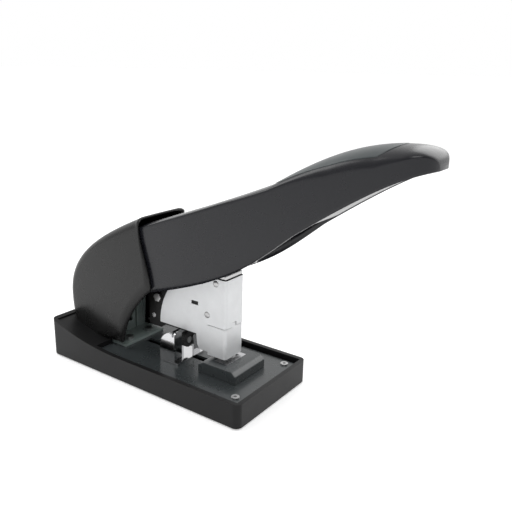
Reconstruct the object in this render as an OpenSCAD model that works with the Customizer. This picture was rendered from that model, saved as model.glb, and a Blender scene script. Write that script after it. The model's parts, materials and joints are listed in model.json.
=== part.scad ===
// Heavy-duty lever stapler: plastic base, rear hood, hinged staple arm with a front-loading
// drawer, and a long lever handle. Millimetres, +X to the front, +Z up, origin at the centre
// of the base's underside.

/* [Base] */
// Length of the base
base_l = 196; // [190:1:210]
// Width of the base
base_w = 90; // [86:1:96]
// Height of the rim along the front part
rim_front_z = 19.6; // [18.5:0.5:22]
// Height of the base at its rear edge
rim_rear_z = 33; // [31:0.5:35]
// Thickness of the base's outer wall
base_wall = 3.5; // [3:0.1:4]
// Height of the rubber feet
foot_h = 1.2; // [1:0.1:1.5]
// Top of the steel deck plate
deck_z = 16.4; // [16:0.1:17]
// Thickness of the deck plate
deck_t = 2; // [1.5:0.1:2.2]
// Top of the anvil, where the paper lies
anvil_z = 26; // [25:0.1:26.2]

/* [Pivot] */
// Distance of the rear pivot behind the base's centre
pivot_back = 60; // [56:0.5:64]
// Height of the rear pivot
pivot_z = 72; // [70:0.5:74]
// Radius of the pivot pin
pin_r = 5; // [4:0.5:5.5]
// Radial clearance of everything that turns
run_gap = 0.05; // [0.03:0.01:0.08]

/* [Hood] */
// Width of the rear hood
hood_w = 53; // [52:0.5:56]
// Wall of the rear hood
hood_wall = 2.2; // [1.8:0.1:2.4]

/* [Head] */
// Distance of the head's front face ahead of the base's centre
head_x = 61; // [60:0.5:63]
// Width of the head's front cover
head_w = 22.1; // [22:0.1:22.6]
// Underside of the front jaw
jaw_z = 28.6; // [28:0.1:29]
// Top of the head
head_top_z = 91; // [90:0.5:92]
// Length of the loaded staple strip
strip_l = 26; // [16:1:30]
// Distance that the driver comes down
stroke = 24.6; // [20:0.1:24.6]

/* [Handle] */
// Width of the handle at the rear
handle_w = 47.8; // [46:0.2:48]
// Width of the handle at its nose
nose_w = 41; // [36:1:44]
// Wall of the handle shell
shell_t = 2.6; // [2.2:0.1:3]

/* [Paper stop] */
// Distance of the stop's paper face ahead of the base's centre
stop_x = 19.5; // [12:0.5:22]
// Radius of the knurled clamping knob
knob_r = 6.2; // [5:0.1:6.2]
// Number of grooves round the knob
knob_teeth = 20; // [12:1:24]

/* [Hidden] */

$fn = 48;
eps = 1;                       // overshoot of cutting tools
far = 400;                     // longer than anything in the model
plastic = [0.06, 0.06, 0.07];
dark_steel = [0.17, 0.2, 0.2];
silver = [0.8, 0.81, 0.83];
bright_steel = [0.7, 0.7, 0.72];

rear_x = -base_l / 2;
front_x = base_l / 2;
half_w = base_w / 2;
sweep_l = 80;                  // length of the rim's hollow curve
sweep_x = rear_x + sweep_l;    // where that curve runs out level
rim_rise = rim_rear_z - rim_front_z;
rim_sweep_r = (pow(sweep_l, 2) + pow(rim_rise, 2)) / (2 * rim_rise);
hood_foot_z = 22.5;            // lower edge of the hood ahead of the rear deck
floor_z = deck_z - deck_t;     // tray floor under the deck plate
floor_t = 4;
cover_t = 1.8;
pocket_rear_x = -48;           // rear end of the full-width deck pocket
tongue_rear_x = -84;           // rear end of the deck plate's tongue under the hood
tongue_w = 46;
deck_w = base_w - 2 * base_wall - 7;
pocket_w = base_w - 2 * base_wall - 0.4;
ledge = 1.2;                   // depth of the rear deck inside the rim

pivot = [-pivot_back, 0, pivot_z];
cheek_in = 17.5;
cheek_out = 20;
bracket_t = 2;
arm_in = 7.6;                  // inner face of an arm plate
arm_out = 9.2;
mag_out = 10.2;                // outer face of the magazine body
cover_in = 10.25;
cover_out = head_w / 2;
frame_in = 12;
frame_out = 13.6;
seam_z = 53.2;                 // lowest point of the seam between cover and jaw
seam_gap = 0.45;
tongue_z = 56.5;               // top of the jaw's tongue, where it notches the cover
tongue_y = [-3, 2];
rivet_spots = [[43.4, 61.1], [51.6, 87.2]];
rivet_r = 1.2;
blade_x = 56;
blade_t = 1.6;
blade_rest_z = jaw_z + 0.2 + stroke;
cap_z = head_top_z + 0.3;
cap_t = 3;
cap_rear_x = 45.2;
channel_z = 40;                // underside of the drawer's channel
rail_top_z = 51.1;
staple_top_z = 52.2;
latch_at = [-13, 0, 46];
roller_r = 4;
roller_at = [52, 0, cap_z + cap_t + 0.4 + roller_r];
roller_pin_r = 2.4;
fork_in = 8;                   // the fork passes down between the cover's sides
fork_out = 9.6;
nose_x = 204;
inner_hood = hood_w / 2 - hood_wall;
screw_d = 3;
grip_x0 = 98;
grip_x1 = 181;
grip_t = 1.8;
hub_clear_r = 15;              // free space round the bracket's and the arm's hubs

// Points of a cubic curve through the plane, from a to d with handles b and c
function bezier(a, b, c, d, n = 12) = [for (i = [0:n]) let (t = i / n, s = 1 - t)
    s * s * s * a + 3 * s * s * t * b + 3 * s * t * t * c + t * t * t * d];

// A line of points moved sideways by d, to the right of the way it runs
function shifted(line, d) = [for (i = [0:len(line) - 1]) let (
    a = line[max(i - 1, 0)], b = line[min(i + 1, len(line) - 1)], t = (b - a) / norm(b - a))
    line[i] + d * [t[1], -t[0]]];

// Lines that follow one another, with no point twice
function joined(lines) = let (all = [for (line = lines, p = line) p])
    [for (i = [0:len(all) - 1]) if (i == 0 || norm(all[i] - all[max(i - 1, 0)]) > 0.01) all[i]];

// A flat shape drawn in X and Z, made into a solid between two values of Y
module slab(y0, y1) {
    translate([0, y1, 0]) rotate([90, 0, 0]) linear_extrude(y1 - y0) children();
}

// The same solid on both sides of the middle plane
module both_sides() {
    children();
    mirror([0, 1, 0]) children();
}

// A cylinder along Y between two values of Y, centred on a point's X and Z
module rod_y(at, r, y0, y1) {
    translate([at[0], y1, at[2]]) rotate([90, 0, 0]) cylinder(r = r, h = y1 - y0);
}

// A box from its lower to its upper corner
module box(low, high) {
    translate(low) cube(high - low);
}

// A screw that stands with its head uppermost at z
module screw(at, head_r, head_t, shank_l) {
    translate(at) {
        difference() {
            cylinder(r = head_r, h = head_t);
            translate([0, 0, head_t * 0.4]) cylinder(r = head_r * 0.45, h = head_t, $fn = 6);
        }
        translate([0, 0, -shank_l]) cylinder(r = screw_d / 2, h = shank_l);
    }
}

// A stack of wire rings that stands for a coil spring along Z
module coil(r, wire_r, z0, z1, turns) {
    pitch = (z1 - z0 - 2 * wire_r) / (turns - 1);
    for (i = [0:turns - 1]) translate([0, 0, z0 + wire_r + i * pitch])
        rotate_extrude($fn = 32) translate([r, 0]) circle(r = wire_r, $fn = 16);
}

// ---- Base ----

cover_screw_spots = [for (x = [-70, 70], y = [-30, 30]) [x, y]];
foot_spots = [for (x = [-84, 84], y = [-32, 32]) [x, y]];
foot_r = 7;
foot_boss_r = 8;               // clear of the side walls, so that it stands free of them
deck_screw_spots = [for (y = [-32, 32]) [86, y]];
bracket_bolt_spots = [for (x = [-40, -70], y = [-11, 11]) [x, y]];

// The rim's hollow curve, lowered by drop
function rim_line(drop, n = 20) = [for (i = [0:n]) let (x = rear_x + sweep_l * i / n)
    [x, rim_front_z - drop + rim_sweep_r - sqrt(pow(rim_sweep_r, 2) - pow(x - sweep_x, 2))]];

// Everything above the rim, lowered by drop
module above_rim(drop) {
    slab(-far, far) polygon(concat([[-far, far], [-far, rim_rear_z - drop]], rim_line(drop),
        [[far, rim_front_z - drop], [far, far]]));
}

module rounded_plate(x0, x1, w, z0, z1, r) {
    translate([0, 0, z0]) linear_extrude(z1 - z0) union() {
        translate([x0 + r, -w / 2]) square([x1 - x0 - 2 * r, w]);
        translate([x0, -w / 2 + r]) square([x1 - x0, w - 2 * r]);
        for (x = [x0 + r, x1 - r], y = [-w / 2 + r, w / 2 - r]) translate([x, y]) circle(r = r);
    }
}

module base_tray() color(plastic) difference() {
    rounded_plate(rear_x, front_x, base_w, foot_h, rim_rear_z + 20, 5);
    above_rim(0);
    // rear deck, a little below the rim
    intersection() {
        above_rim(ledge);
        box([rear_x + base_wall, -pocket_w / 2, 0], [pocket_rear_x, pocket_w / 2, far]);
    }
    // pocket of the deck plate, with its tongue under the hood
    box([pocket_rear_x - 0.01, -pocket_w / 2, floor_z], [front_x - base_wall, pocket_w / 2, far]);
    box([tongue_rear_x - 0.2, -tongue_w / 2 - 0.2, floor_z], [pocket_rear_x, tongue_w / 2 + 0.2, far]);
    // groove round the plate
    both_sides() box([pocket_rear_x + 4, deck_w / 2, floor_z - 2],
        [front_x - base_wall, pocket_w / 2, far]);
    // channel of the paper stop's slider
    box([-32, -7, 0], [42, 7, far]);
    // hollow underside, with bosses left for feet and screws
    difference() {
        box([rear_x + base_wall, -half_w + base_wall, 0],
            [front_x - base_wall, half_w - base_wall, floor_z - floor_t]);
        for (p = foot_spots) translate([p[0], p[1], -eps]) cylinder(r = foot_boss_r, h = 40);
        for (p = cover_screw_spots) translate([p[0], p[1], foot_h + cover_t]) cylinder(r = 4, h = 40);
    }
    for (p = cover_screw_spots) translate([p[0], p[1], 0]) cylinder(r = screw_d / 2, h = 9);
    for (p = deck_screw_spots) translate([p[0], p[1], floor_z - 3.5]) cylinder(r = screw_d / 2, h = 20);
    for (p = bracket_bolt_spots) translate([p[0], p[1], floor_z - 3.5]) cylinder(r = 2, h = 20);
}

module bottom_cover() color(dark_steel) difference() {
    box([rear_x + base_wall + 0.3, -half_w + base_wall + 0.3, foot_h],
        [front_x - base_wall - 0.3, half_w - base_wall - 0.3, foot_h + cover_t]);
    for (p = foot_spots) translate([p[0], p[1], -eps]) cylinder(r = foot_boss_r + 0.3, h = 20);
    for (p = cover_screw_spots) translate([p[0], p[1], -eps]) cylinder(r = screw_d / 2, h = 20);
}

module rubber_feet() color([0.05, 0.05, 0.05])
    for (p = foot_spots) translate([p[0], p[1], 0]) cylinder(r = foot_r, h = foot_h);

module cover_screws() color(bright_steel)
    for (p = cover_screw_spots) translate([0, 0, foot_h]) mirror([0, 0, 1])
        screw([p[0], p[1], 0], 2.7, 0.9, 7);

module deck_plate() color(dark_steel) difference() {
    union() {
        box([pocket_rear_x + 0.2, -deck_w / 2, floor_z], [front_x - base_wall - 1, deck_w / 2, deck_z]);
        box([tongue_rear_x, -tongue_w / 2, floor_z], [pocket_rear_x + 0.3, tongue_w / 2, deck_z]);
    }
    box([-30, -3, 0], [38, 3, far]);
    for (p = deck_screw_spots) translate([p[0], p[1], 0]) cylinder(r = screw_d / 2, h = 40);
    for (p = bracket_bolt_spots) translate([p[0], p[1], 0]) cylinder(r = 2, h = 40);
}

module deck_screws() color(bright_steel)
    for (p = deck_screw_spots) screw([p[0], p[1], deck_z], 3, 1, 5);

module anvil_block() color(dark_steel) difference() {
    slab(-19, 19) polygon([[41, deck_z], [76, deck_z], [76, anvil_z - 3], [72, anvil_z],
        [46, anvil_z], [41, anvil_z - 3]]);
    box([51, -12, anvil_z - 2], [63.5, 12, far]);
}

module clincher_plate() color(bright_steel) difference() {
    box([51, -12, anvil_z - 2], [63.5, 12, anvil_z]);
    // two hollows that turn the staple's legs inwards
    for (s = [-1, 1]) rod_y([blade_x + 1, 0, anvil_z + 3.2], 4, min(s * 1.2, s * 8), max(s * 1.2, s * 8));
}

module pivot_bracket() color([0.3, 0.34, 0.33]) difference() {
    union() {
        box([-80, -22, deck_z], [-33, 22, deck_z + bracket_t]);
        box([-55, -cheek_out, deck_z + bracket_t], [-53, cheek_out, 57]);
        both_sides() slab(cheek_in, cheek_out) union() {
            polygon([[-78, deck_z + bracket_t], [-53, deck_z + bracket_t], [-49, pivot_z],
                [-71, pivot_z]]);
            translate([pivot[0], pivot[2]]) circle(r = 12);
        }
        // pressed ribs that stiffen the front wall
        both_sides() box([-53, 9, deck_z + bracket_t], [-51.8, 10.6, 54]);
    }
    rod_y(pivot, pin_r, -far, far);
    for (p = bracket_bolt_spots) translate([p[0], p[1], 0]) cylinder(r = 2, h = 60);
    // window in the front wall
    box([-56, -5, 26], [-52, 5, 46]);
}

module bracket_bolts() color(bright_steel)
    for (p = bracket_bolt_spots) translate([p[0], p[1], deck_z + bracket_t]) {
        cylinder(r = 3.6, h = 2.4, $fn = 6);
        translate([0, 0, -7]) cylinder(r = 2, h = 7);
    }

// ---- Hood ----

hood_top = bezier([-96, 50], [-97, 84], [-66, 105], [-12, 129], 20);
hood_lip = bezier([-11, 123], [-11, 108], [-1, 92], [0, 74.5], 8);
hood_arch = bezier([0, 74.5], [-14, 61], [-28, 46], [-30.5, 19], 10);
hood_rear = bezier([-92.5, 20], [-94, 30], [-96, 40], [-96, 50], 6);

module hood_outline() {
    polygon(joined([hood_rear, hood_top, hood_lip, hood_arch]));
}

// The hollow of the hood, open at the front and below
module hood_hollow() {
    polygon(joined([shifted(joined([hood_rear, hood_top]), hood_wall),
        [[20, 140], [20, 60], [20, 0], [-91, 0]]]));
}

module rear_hood() color(plastic) difference() {
    intersection() {
        slab(-hood_w / 2, hood_w / 2) hood_outline();
        rounded_plate(-97, 30, hood_w, 0, 140, 9);
    }
    intersection() {
        slab(-inner_hood, inner_hood) hood_hollow();
        rounded_plate(-97 + hood_wall, 40, 2 * inner_hood, -1, 150, 7);
    }
    // seated on the rear deck
    difference() {
        box([-far, -far, -eps], [pocket_rear_x, far, 60]);
        above_rim(ledge);
    }
    box([pocket_rear_x - 1, -far, -eps], [far, far, hood_foot_z]);
}

module pivot_pin() color(bright_steel) rod_y(pivot, pin_r, -23.9, 23.9);

module pin_clips() color(bright_steel) both_sides() difference() {
    rod_y(pivot, 8, cheek_out, cheek_out + 0.7);
    rod_y(pivot, pin_r, 0, 40);
}

// ---- Staple arm ----

module arm_outline() {
    difference() {
        union() {
            translate([pivot[0], pivot[2]]) circle(r = 11);
            polygon([[-60, 61], [-20, 61], [-17.7, 58], [-17.7, 37.5], [-5, 37.5], [2, 42.6],
                [36, 42.6], [36, 82.5], [4, 82.5], [-60, 83]]);
        }
        translate([pivot[0], pivot[2]]) circle(r = pin_r + run_gap);
        translate([latch_at[0], latch_at[2]]) circle(r = 2);
        translate([-7, 63]) circle(r = 2.5);
    }
}

module arm_plate_left() color([0.08, 0.08, 0.08]) slab(arm_in, arm_out) arm_outline();

module arm_plate_right() color([0.08, 0.08, 0.08]) slab(-arm_out, -arm_in) arm_outline();

module pivot_spacer() color(bright_steel) difference() {
    rod_y(pivot, 7, -arm_in, arm_in);
    rod_y(pivot, pin_r + run_gap, -20, 20);
}

module lift_spring() color(bright_steel)
    for (i = [-4:4]) translate([pivot[0], i * 1.45, pivot[2]]) rotate([90, 0, 0])
        rotate_extrude($fn = 32) translate([7.8, 0]) circle(r = 0.7, $fn = 16);

module arm_bolt() color(bright_steel) {
    rod_y([-7, 0, 63], 2.5, -arm_out, arm_out);
    translate([-7, -arm_out, 63]) rotate([90, 0, 0]) cylinder(r = 3.8, h = 2.5, $fn = 6);
    translate([-7, arm_out + 2.3, 63]) rotate([90, 0, 0]) cylinder(r = 3.8, h = 2.3, $fn = 6);
}

module latch_pin() color(bright_steel) rod_y(latch_at, 2, -arm_out, arm_out);

mag_rear = bezier([-5.2, 43], [-5.2, 56], [0, 68], [9, 79], 8);

module magazine_outline() {
    polygon(concat(mag_rear, [[12, 84], [44, 84], [44, 54.6], [43.3, 54], [43.3, 30.4], [35, 30.4],
        [33, 34], [32, 42.6], [-4.6, 42.6]]));
}

module magazine_body() color(silver) difference() {
    slab(-mag_out, mag_out) magazine_outline();
    slab(-arm_out - 0.05, arm_out + 0.05) polygon([[-20, 0], [60, 0], [60, 83], [-20, 83]]);
    // lanced window
    box([27.3, -20, 66], [34, 20, 69]);
    // clearance of the cover's rivets
    rod_y([rivet_spots[0][0], 0, rivet_spots[0][1]], rivet_r, -20, 20);
}

module head_cover() color(silver) difference() {
    intersection() {
        box([39.6, -cover_out, 40], [head_x, cover_out, head_top_z]);
        rounded_plate(20, head_x, head_w, 0, 100, 2.5);
    }
    box([30, -cover_in, 0], [head_x - 0.8, cover_in, 100]);
    box([30, -20, 0], [70, 20, seam_z]);
    box([50, tongue_y[0], 0], [70, tongue_y[1], tongue_z]);
    both_sides() for (p = rivet_spots) rod_y([p[0], 0, p[1]], rivet_r, 0, 20);
}

module head_rivets() color(bright_steel) both_sides() for (p = rivet_spots) {
    rod_y([p[0], 0, p[1]], 2.6, cover_out, cover_out + 0.7);
    rod_y([p[0], 0, p[1]], rivet_r, p[0] < 44 ? arm_out + 0.05 : cover_in, cover_out);
}

module driver_guide() color(dark_steel) {
    box([53, -cover_in, 54.4], [blade_x - 0.1, cover_in, 65.5]);
    difference() {
        box([44.2, -cover_in, 54.4], [53, cover_in, 56]);
        translate([49, 0, 50]) cylinder(r = 1.5, h = 10);
    }
    box([blade_x + blade_t + 0.15, -cover_in, 57.4], [head_x - 0.8, cover_in, 65.5]);
}

// ---- Magazine drawer ----

module front_jaw() color(silver) {
    difference() {
        intersection() {
            union() {
                difference() {
                    box([43.7, -cover_out + 0.15, jaw_z], [head_x - 0.4, cover_out - 0.15, 60]);
                    box([30, -cover_out + 1.1, jaw_z + 1], [head_x - 1.4, cover_out - 1.1, 80]);
                }
                // solid nose behind the front wall
                box([blade_x + blade_t + 0.15, -cover_out + 0.5, jaw_z],
                    [head_x - 1, cover_out - 0.5, 52.5]);
            }
            rounded_plate(20, head_x - 0.4, head_w - 0.3, 0, 100, 2.3);
        }
        // upper edge, a seam's width below the cover, with a tongue in front
        difference() {
            box([30, -20, seam_z - seam_gap], [70, 20, 100]);
            box([head_x - 1.4, tongue_y[0] + seam_gap, 0],
                [70, tongue_y[1] - seam_gap, tongue_z - seam_gap]);
        }
        // way out of the staples
        box([blade_x - 0.3, -7, 0], [blade_x + blade_t + 0.3, 7, channel_z]);
    }
    // webs that carry the drawer's channel
    both_sides() box([45, 7.4, channel_z], [55, cover_out - 1, channel_z + 2]);
}

module drawer_channel() color([0.12, 0.12, 0.13]) difference() {
    box([-10, -7.4, channel_z], [55.6, 7.4, 51]);
    box([-11, -6.8, channel_z + 0.8], [56, 6.8, 60]);
    box([-11, -8, channel_z + 0.8], [-4, 8, 60]);
    // hole for the latch's tooth
    box([-9.1, -3, 0], [-4.6, 3, 60]);
}

module staple_rail() color(bright_steel) difference() {
    box([-3.5, -5.5, channel_z + 0.8], [55.6, 5.5, rail_top_z]);
    box([-2.5, -4.4, channel_z], [54.6, 4.4, rail_top_z - 1]);
    // slot of the pusher's lug
    box([5.5, -2.3, rail_top_z - 2], [23, 2.3, 60]);
}

module staple_strip() color([0.75, 0.75, 0.78]) difference() {
    box([55.6 - strip_l, -6.5, channel_z + 1.1], [55.6, 6.5, staple_top_z]);
    box([0, -5.5, 0], [80, 5.5, rail_top_z]);
}

module pusher() color([0.1, 0.1, 0.1]) {
    difference() {
        box([17, -6.5, channel_z + 2], [55.6 - strip_l, 6.5, staple_top_z - 0.05]);
        box([10, -5.6, 0], [60, 5.6, rail_top_z + 0.05]);
    }
    // lug that the spring pushes on, inside the rail
    box([18, -1.8, channel_z + 5], [22, 1.8, rail_top_z + 0.5]);
}

module pusher_spring() color(bright_steel)
    translate([-2.2, 0, 46]) rotate([0, 90, 0]) coil(3, 0.35, 0, 20, 14);

module release_lever() color(plastic) difference() {
    union() {
        slab(-6.5, 6.5) union() {
            translate([latch_at[0], latch_at[2]]) circle(r = 4);
            polygon([[-13, 49], [-6.6, 46], [-6.6, 41.3], [-9.5, 41.3], [-13, 43]]);
            // thumb tab
            polygon([[-16, 45], [-12, 43.5], [-13, 38], [-16.4, 38]]);
        }
        // tooth that stands in the channel's floor
        box([-8.8, -2.7, 39.8], [-6.6, 2.7, 42]);
    }
    rod_y(latch_at, 2 + run_gap, -20, 20);
}

// ---- Driver ----

module driver_blade() color(bright_steel)
    box([blade_x, -6.4, blade_rest_z], [blade_x + blade_t, 6.4, cap_z]);

module driver_cap() color([0.82, 0.82, 0.8])
    box([cap_rear_x, -10, cap_z], [head_x - 1, 10, cap_z + cap_t]);

module return_spring() color(bright_steel) translate([49, 0, 0]) coil(3.1, 0.5, 56, cap_z, 9);

// ---- Handle ----

top_rear = bezier([-66, 84], [-54, 101], [-30, 115], [-11, 124], 8);
top_mid = bezier([-11, 124], [25, 137.5], [60, 150], [100, 167.5], 10);
top_front = bezier([100, 167.5], [130, 187], [155, 197], [182, 198.6], 10);
nose_curve = bezier([182, 198.6], [195, 199.4], [206, 194], [203.5, 185.4], 8);
low_front = bezier([203.5, 185.4], [186, 182], [158, 164], [120, 137], 10);
low_mid = bezier([120, 137], [84, 107], [70, 95], [0, 72.5], 12);
low_rear = bezier([0, 72.5], [-20, 64], [-40, 60.5], [-56, 60.5], 6);
top_line = joined([top_rear, top_mid, top_front]);
under_line = [for (p = low_front) if (p[0] > 122 && p[0] < 194) p + [0, 0.6]];

module handle_outline() {
    polygon(joined([top_line, nose_curve, low_front, low_mid, low_rear]));
    translate([pivot[0], pivot[2]]) circle(r = 14);
}

// Everything below the top line moved down by d, between two values of X
module below_top(d, x0, x1) {
    intersection() {
        polygon(concat(shifted(top_line, d), [[x1 + 1, 190], [x1 + 1, 0], [-100, 0], [-100, 84 - d]]));
        translate([x0, 0]) square([x1 - x0, 230]);
    }
}

// Plan of the handle: straight sides that narrow to a round nose
module handle_plan(inset = 0) {
    w0 = handle_w / 2 - inset;
    w1 = nose_w / 2 - inset;
    r = 17 - inset;
    union() {
        polygon([[-90, -w0], [30, -w0], [nose_x - 17, -w1], [nose_x - 17, w1], [30, w0], [-90, w0]]);
        translate([nose_x - 17, -(w1 - r)]) square([r, 2 * (w1 - r)]);
        for (s = [-1, 1]) translate([nose_x - 17, s * (w1 - r)]) circle(r = r);
    }
}

module in_plan(inset = 0) {
    intersection() {
        translate([0, 0, 30]) linear_extrude(200) handle_plan(inset);
        children();
    }
}

module handle_shell() color([0.1, 0.1, 0.11]) difference() {
    in_plan() slab(-30, 30) handle_outline();
    // hollow, open below
    in_plan(shell_t) slab(-30, 30) below_top(3, -100, 194);
    // seat of the grip panel
    in_plan(shell_t) slab(-30, 30) difference() {
        translate([grip_x0, 0]) square([grip_x1 - grip_x0, 230]);
        below_top(grip_t, grip_x0 - 1, grip_x1 + 1);
    }
    // only the two sides reach round the pivot
    rod_y(pivot, hub_clear_r, -handle_w / 2 + shell_t, handle_w / 2 - shell_t);
    rod_y(pivot, pin_r + run_gap, -40, 40);
}

module grip_panel() color([0.14, 0.15, 0.15])
    in_plan(shell_t + 0.1) slab(-30, 30) difference() {
        below_top(0, grip_x0 + 0.1, grip_x1 - 0.1);
        below_top(grip_t, 0, 200);
    }

// Closes the front half of the handle from below
module handle_underside() color([0.12, 0.12, 0.13])
    in_plan(shell_t + 0.1) slab(-30, 30) polygon(joined([under_line,
        [for (i = [len(under_line) - 1:-1:0]) shifted(under_line, 2)[i]]]));

module frame_side() {
    difference() {
        union() {
            translate([pivot[0], pivot[2]]) circle(r = 11);
            polygon([[-60, 61], [-30, 74], [40, 91.5], [70, 101], [74, 108], [74, 122], [40, 118],
                [-30, 96], [-60, 83]]);
        }
        translate([pivot[0], pivot[2]]) circle(r = pin_r + run_gap);
    }
}

// Leans back, so that it stays behind the cover's front wall as the handle comes down
module fork_side() {
    difference() {
        union() {
            translate([roller_at[0], roller_at[2]]) circle(r = 3.6);
            polygon([[roller_at[0] - 3.3, roller_at[2]], [roller_at[0] + 3.3, roller_at[2]],
                [46, 117.6], [38, 116.6]]);
        }
        translate([roller_at[0], roller_at[2]]) circle(r = roller_pin_r);
    }
}

module handle_frame() color(bright_steel) {
    both_sides() slab(frame_in, frame_out) frame_side();
    both_sides() slab(fork_in, fork_out) fork_side();
    // top web between the sides
    slab(-frame_in, frame_in) polygon([[-30, 94.3], [40, 116.3], [74, 120.3], [74, 122], [40, 118],
        [-30, 96]]);
}

module press_pin() color(bright_steel) rod_y(roller_at, roller_pin_r, -fork_out, fork_out);

module frame_screws() color(bright_steel)
    both_sides() for (p = [[-14, 0, 88], [24, 0, 104]])
        rod_y(p, 2.2, frame_out, handle_w / 2 - shell_t);

module press_roller() color([0.6, 0.6, 0.62]) difference() {
    rod_y(roller_at, roller_r, -7.6, 7.6);
    rod_y(roller_at, roller_pin_r + run_gap, -20, 20);
}

// ---- Paper stop ----

knob_at = [12.4, -1.5, 30.2];
knob_t = 5;
ear_t = 1.5;

module ear(y0, y1, top) {
    w = (y1 - y0) / 2;
    intersection() {
        box([stop_x - ear_t, y0, deck_z + 0.2], [stop_x, y1, top]);
        union() {
            box([0, y0, 0], [40, y1, top - w]);
            translate([0, (y0 + y1) / 2, top - w]) rotate([0, 90, 0]) cylinder(r = w, h = 40);
        }
    }
}

module stop_carriage() color([0.78, 0.78, 0.8]) difference() {
    union() {
        box([4.6, -21.4, deck_z + 0.2], [23, 9.5, deck_z + 1.8]);
        ear(-21.4, -12.6, 42.6);
        ear(1.5, 9.5, 36);
        // rounded side wing of the near ear
        intersection() {
            box([4.6, -21.4, deck_z + 0.2], [stop_x, -20, 42.6]);
            union() {
                box([4.6, -30, 0], [stop_x, 0, 33]);
                rod_y([stop_x - 9, 0, 33.6], 9, -30, 0);
                box([stop_x - 9, -30, 0], [stop_x, 0, 38.6]);
            }
        }
        // upright that carries the clamping screw
        box([4.6, -7, deck_z + 0.2], [6.6, 4, 35.5]);
    }
    translate([0, knob_at[1], knob_at[2]]) rotate([0, 90, 0]) cylinder(r = 2 + run_gap, h = 12);
}

module stop_slider() color(dark_steel) {
    box([6, -6, floor_z - 2.2], [22, 6, floor_z - 0.2]);
    box([8, -2.8, floor_z - 0.2], [20, 2.8, deck_z + 0.2]);
}

module stop_knob() color(plastic) difference() {
    translate(knob_at) rotate([0, 90, 0]) cylinder(r = knob_r, h = knob_t);
    for (i = [0:knob_teeth - 1]) translate(knob_at + [-1, 0, 0])
        rotate([i * 360 / knob_teeth, 0, 0]) translate([0, 0, knob_r + 0.25])
        rotate([0, 90, 0]) cylinder(r = 0.6, h = knob_t + 2, $fn = 16);
    translate(knob_at - [1, 0, 0]) rotate([0, 90, 0]) cylinder(r = 2, h = knob_t + 2);
}

module stop_screw() color(bright_steel) {
    translate([0.5, knob_at[1], knob_at[2]]) rotate([0, 90, 0])
        cylinder(r = 2, h = knob_at[0] + knob_t - 0.5);
    translate([knob_at[0] + knob_t, knob_at[1], knob_at[2]]) rotate([0, 90, 0])
        cylinder(r = 2.6, h = 0.5);
}

base_tray();
bottom_cover();
rubber_feet();
cover_screws();
deck_plate();
deck_screws();
anvil_block();
clincher_plate();
pivot_bracket();
bracket_bolts();
rear_hood();
pivot_pin();
pin_clips();
arm_plate_left();
arm_plate_right();
pivot_spacer();
lift_spring();
arm_bolt();
latch_pin();
magazine_body();
head_cover();
head_rivets();
driver_guide();
front_jaw();
drawer_channel();
staple_rail();
staple_strip();
pusher();
pusher_spring();
release_lever();
driver_blade();
driver_cap();
return_spring();
handle_shell();
grip_panel();
handle_underside();
handle_frame();
press_pin();
frame_screws();
press_roller();
stop_carriage();
stop_slider();
stop_knob();
stop_screw();
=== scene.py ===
"""Looks of a heavy-duty lever stapler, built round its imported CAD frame.

Lengths are metres in the row frame: +X to the front, +Z up, origin under the middle of the base.
"""

import json
import logging
import math
from collections.abc import Callable, Sequence
from dataclasses import dataclass, field
from enum import Enum

import bmesh
import bpy
import numpy as np
from mathutils import Matrix, Vector


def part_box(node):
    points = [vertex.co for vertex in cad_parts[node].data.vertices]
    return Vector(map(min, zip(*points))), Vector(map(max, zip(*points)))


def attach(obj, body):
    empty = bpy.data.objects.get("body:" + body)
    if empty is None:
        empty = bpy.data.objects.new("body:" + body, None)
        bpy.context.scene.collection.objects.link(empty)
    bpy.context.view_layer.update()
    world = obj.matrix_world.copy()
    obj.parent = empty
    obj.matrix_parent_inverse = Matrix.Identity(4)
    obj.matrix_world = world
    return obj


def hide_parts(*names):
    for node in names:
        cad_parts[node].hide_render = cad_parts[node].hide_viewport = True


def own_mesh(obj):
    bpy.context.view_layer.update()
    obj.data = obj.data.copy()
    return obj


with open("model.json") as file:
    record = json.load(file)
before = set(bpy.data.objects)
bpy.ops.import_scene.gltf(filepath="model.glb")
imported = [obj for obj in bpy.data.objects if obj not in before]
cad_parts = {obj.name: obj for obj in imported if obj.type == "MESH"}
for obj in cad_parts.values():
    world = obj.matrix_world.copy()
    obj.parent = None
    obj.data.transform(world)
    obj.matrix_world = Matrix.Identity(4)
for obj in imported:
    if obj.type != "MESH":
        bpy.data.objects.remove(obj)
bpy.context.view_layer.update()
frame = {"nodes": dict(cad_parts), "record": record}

MM = 0.001
LOG = logging.getLogger("stapler")
Point = tuple[float, float]


# ---- Curves ----

def bezier(a: Point, b: Point, c: Point, d: Point, t: float) -> np.ndarray:
    """Point on a cubic curve.

    Args:
        a: where the curve starts.
        b: handle that the curve leaves a towards.
        c: handle that the curve reaches d from.
        d: where the curve ends.
        t: share of the way along, from 0 to 1.

    Returns:
        The point's X and Z.
    """
    s = 1 - t
    pts = [np.array(p, float) for p in (a, b, c, d)]
    return s**3 * pts[0] + 3 * s * s * t * pts[1] + 3 * s * t * t * pts[2] + t**3 * pts[3]


def polyline(curves: Sequence[Sequence[Point]], steps: int = 24) -> np.ndarray:
    """Points along cubic curves that follow one another.

    Args:
        curves: four control points for each curve, in millimetres.
        steps: points on each curve.

    Returns:
        An array of X and Z in millimetres.
    """
    rows = [bezier(*c, i / steps) for c in curves for i in range(steps)]
    return np.array(rows + [bezier(*curves[-1], 1.0)])


def height_at(line: np.ndarray, x: float) -> float:
    """Z of a line that runs forward, at a given X."""
    return float(np.interp(x, line[:, 0], line[:, 1]))


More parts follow.
